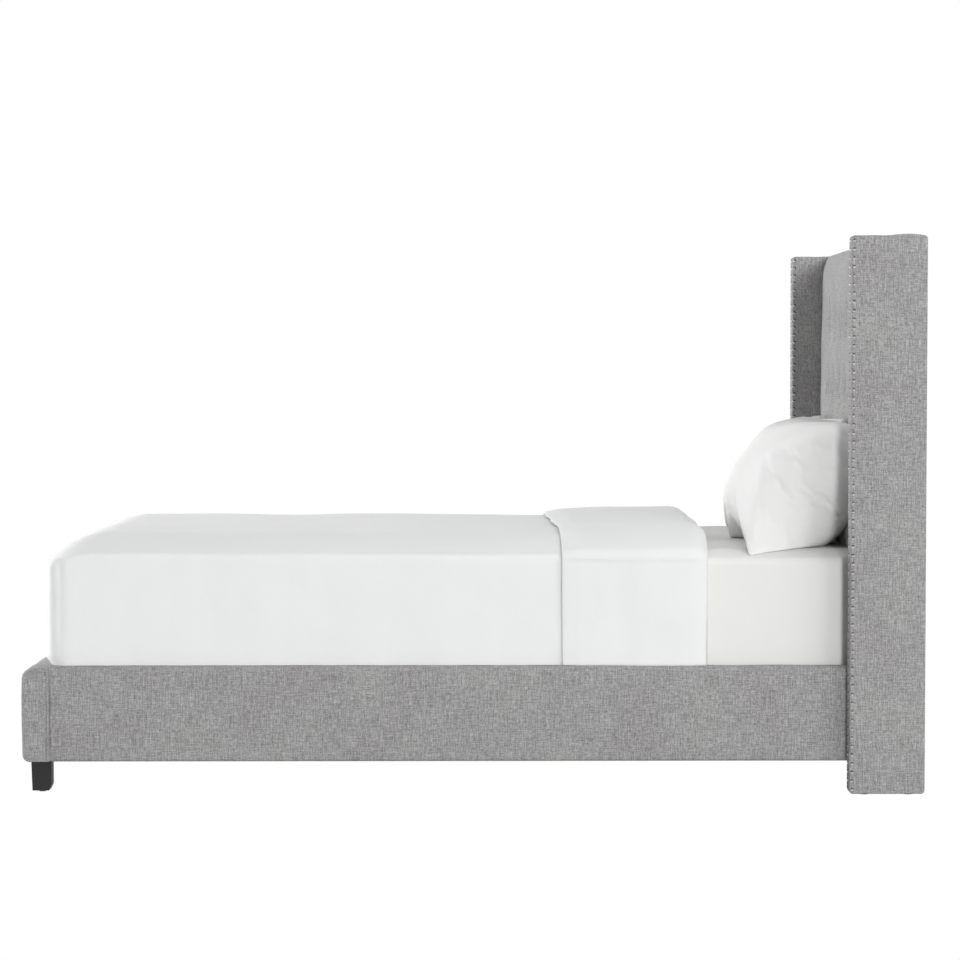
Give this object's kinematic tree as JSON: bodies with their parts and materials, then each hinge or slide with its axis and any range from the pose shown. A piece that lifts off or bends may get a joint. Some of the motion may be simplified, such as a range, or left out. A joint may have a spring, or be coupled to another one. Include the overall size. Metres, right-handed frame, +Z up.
{
  "type": "wingback bed",
  "caption": "Upholstered bed with winged, tufted headboard, nail-head trim, low footboard, slatted base, mattress, duvet and pillows.",
  "frame": {"origin": "on the floor, under the middle of the whole bed", "axes": "+X along the bed towards the headboard, +Z up, -Y the bed's right side seen from the foot"},
  "size_m": [2.271, 1.755, 1.4],
  "materials": {
    "linen": "matte",
    "linen_back": "matte",
    "foam": "matte",
    "timber": "matte",
    "plywood": "matte",
    "zinc_steel": "satin",
    "black_steel": "satin",
    "nail_pewter": "satin",
    "foot_black": "satin",
    "glide_plastic": "matte",
    "webbing": "matte",
    "ticking": "matte",
    "sheet_cotton": "matte",
    "duvet_cotton": "matte",
    "pillow_cotton": "matte"
  },
  "bodies": {
    "frame": {"wing_cover_right": "linen", "wing_cover_left": "linen", "side_rail_cover_right": "linen", "side_rail_cover_left": "linen", "footboard_cover": "linen", "footboard_welts": "linen", "headboard_cover": "linen", "headboard_buttons": "linen", "headboard_back_panel": "linen_back", "wing_foam_right": "foam", "wing_foam_left": "foam", "side_rail_foam_right": "foam", "side_rail_foam_left": "foam", "footboard_foam": "foam", "headboard_foam": "foam", "wing_core_right": "timber", "wing_core_left": "timber", "headboard_stile_right": "timber", "headboard_stile_left": "timber", "headboard_top_rail": "timber", "headboard_middle_rail": "timber", "headboard_bottom_rail": "timber", "side_rail_board_right": "timber", "side_rail_board_left": "timber", "slat_ledger_right": "timber", "slat_ledger_left": "timber", "footboard_board": "timber", "centre_beam": "timber", "slats": "timber", "centre_leg_foot": "timber", "centre_leg_head": "timber", "headboard_board": "plywood", "wing_bolts": "zinc_steel", "bracket_bolts": "zinc_steel", "threaded_inserts": "zinc_steel", "bracket_screws": "zinc_steel", "foot_hanger_bolts": "zinc_steel", "leg_inserts": "zinc_steel", "slat_screws": "zinc_steel", "head_bracket_right": "black_steel", "head_bracket_left": "black_steel", "foot_bracket_right": "black_steel", "foot_bracket_left": "black_steel", "beam_bracket_head": "black_steel", "beam_bracket_foot": "black_steel", "wing_nails_right": "nail_pewter", "wing_nails_left": "nail_pewter", "foot_right": "foot_black", "foot_left": "foot_black", "headboard_glides": "glide_plastic", "foot_glides": "glide_plastic", "slat_webbing": "webbing"},
    "mattress": {"mattress": "ticking", "fitted_sheet": "sheet_cotton", "duvet": "duvet_cotton", "top_sheet": "duvet_cotton"},
    "pillow_right": {"pillow_right": "pillow_cotton"},
    "pillow_left": {"pillow_left": "pillow_cotton"},
    "leveller_head": {"leveller_head": "zinc_steel"},
    "leveller_foot": {"leveller_foot": "zinc_steel"}
  },
  "joints": [
    {"name": "mattress_lift", "type": "slide", "parent": "frame", "child": "mattress", "axis": [0, 0, 1], "range_m": [0, 0.35]},
    {"name": "pillow_right_lift", "type": "slide", "parent": "mattress", "child": "pillow_right", "axis": [0, 0, 1], "range_m": [0, 0.3]},
    {"name": "pillow_left_lift", "type": "slide", "parent": "mattress", "child": "pillow_left", "axis": [0, 0, 1], "range_m": [0, 0.3]},
    {"name": "leveller_head_screw", "type": "slide", "parent": "frame", "child": "leveller_head", "axis": [0, 0, 1], "range_m": [0, 0.008]},
    {"name": "leveller_foot_screw", "type": "slide", "parent": "frame", "child": "leveller_foot", "axis": [0, 0, 1], "range_m": [0, 0.008]}
  ]
}
